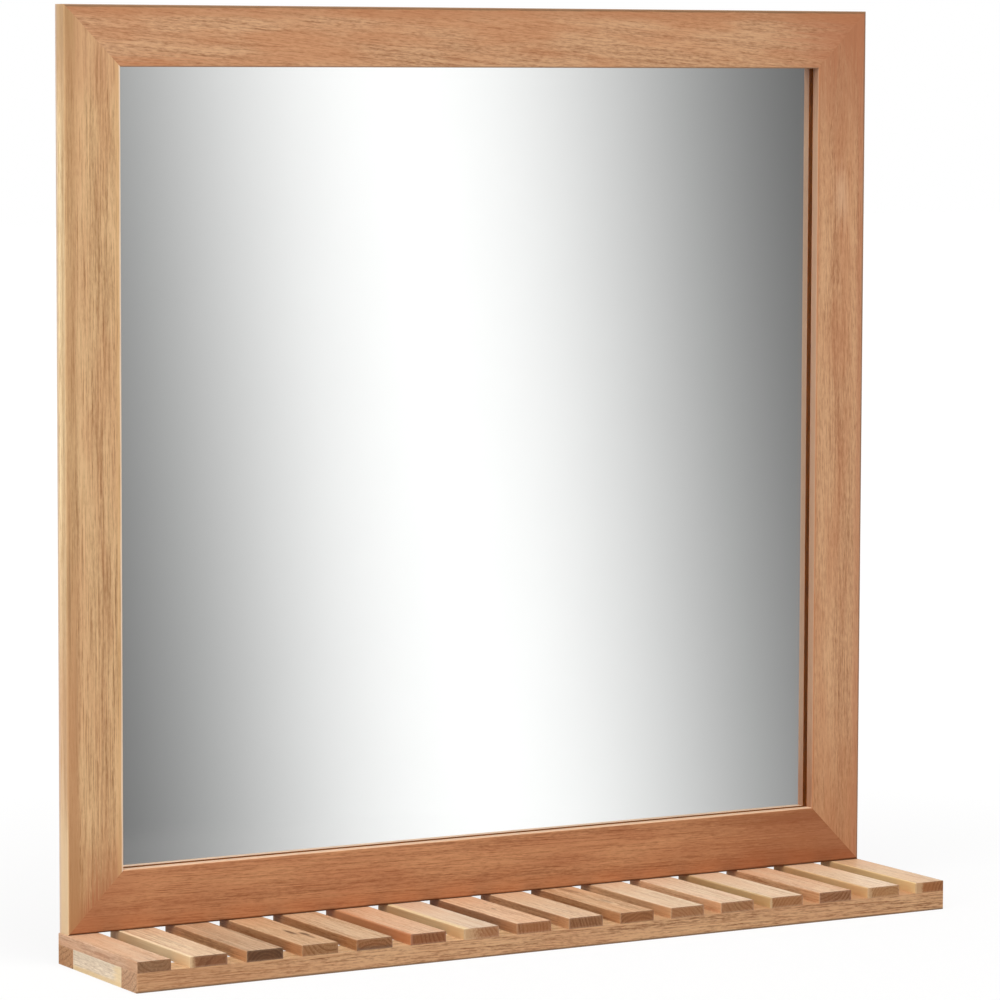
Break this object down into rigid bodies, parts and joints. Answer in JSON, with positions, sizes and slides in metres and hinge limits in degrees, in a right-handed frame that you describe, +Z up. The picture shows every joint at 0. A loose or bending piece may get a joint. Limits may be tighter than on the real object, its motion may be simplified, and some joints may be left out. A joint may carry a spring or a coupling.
{
  "type": "bathroom mirror with shelf",
  "caption": "Wall mirror in a flat mitred wooden frame that stands on a slatted wooden shelf, hung by keyhole plates let into the back.",
  "frame": {"origin": "on the wall plane, midway between the two keyhole openings that take the wall screws", "axes": "+Y into the wall, so the mirror faces -Y; +Z up; +X to the right as seen from the front"},
  "size_m": [0.6, 0.113, 0.6],
  "materials": {
    "frame_wood": "satin clear lacquer over honey-brown wood",
    "rail_wood": "satin clear lacquer over mid-brown wood",
    "slat_wood": "satin clear lacquer over pale tan wood",
    "dowel_wood": "plain beech",
    "backing_board": "brown hardboard, smooth side out",
    "mirror": "silvered float glass",
    "zinc_steel": "zinc-plated steel"
  },
  "bodies": {
    "root": {"frame_left_stile": "frame_wood", "frame_right_stile": "frame_wood", "frame_top_rail": "frame_wood", "frame_bottom_rail": "frame_wood", "mitre_nails": "zinc_steel", "mirror_glass": "mirror", "backing_panel": "backing_board", "backing_screws": "zinc_steel", "shelf_front_rail": "rail_wood", "shelf_back_rail": "rail_wood", "shelf_left_end": "slat_wood", "shelf_right_end": "slat_wood", "slat_screws": "zinc_steel", "frame_screws": "zinc_steel", "end_dowels": "dowel_wood", "hanger_left": "zinc_steel", "hanger_right": "zinc_steel", "hanger_screws": "zinc_steel", "slat_01": "slat_wood", "slat_02": "slat_wood", "slat_03": "slat_wood", "slat_04": "slat_wood", "slat_05": "slat_wood", "slat_06": "slat_wood", "slat_07": "slat_wood", "slat_08": "slat_wood", "slat_09": "slat_wood", "slat_10": "slat_wood", "slat_11": "slat_wood", "slat_12": "slat_wood", "slat_13": "slat_wood", "slat_14": "slat_wood", "slat_15": "slat_wood", "slat_16": "slat_wood"}
  },
  "joints": []
}
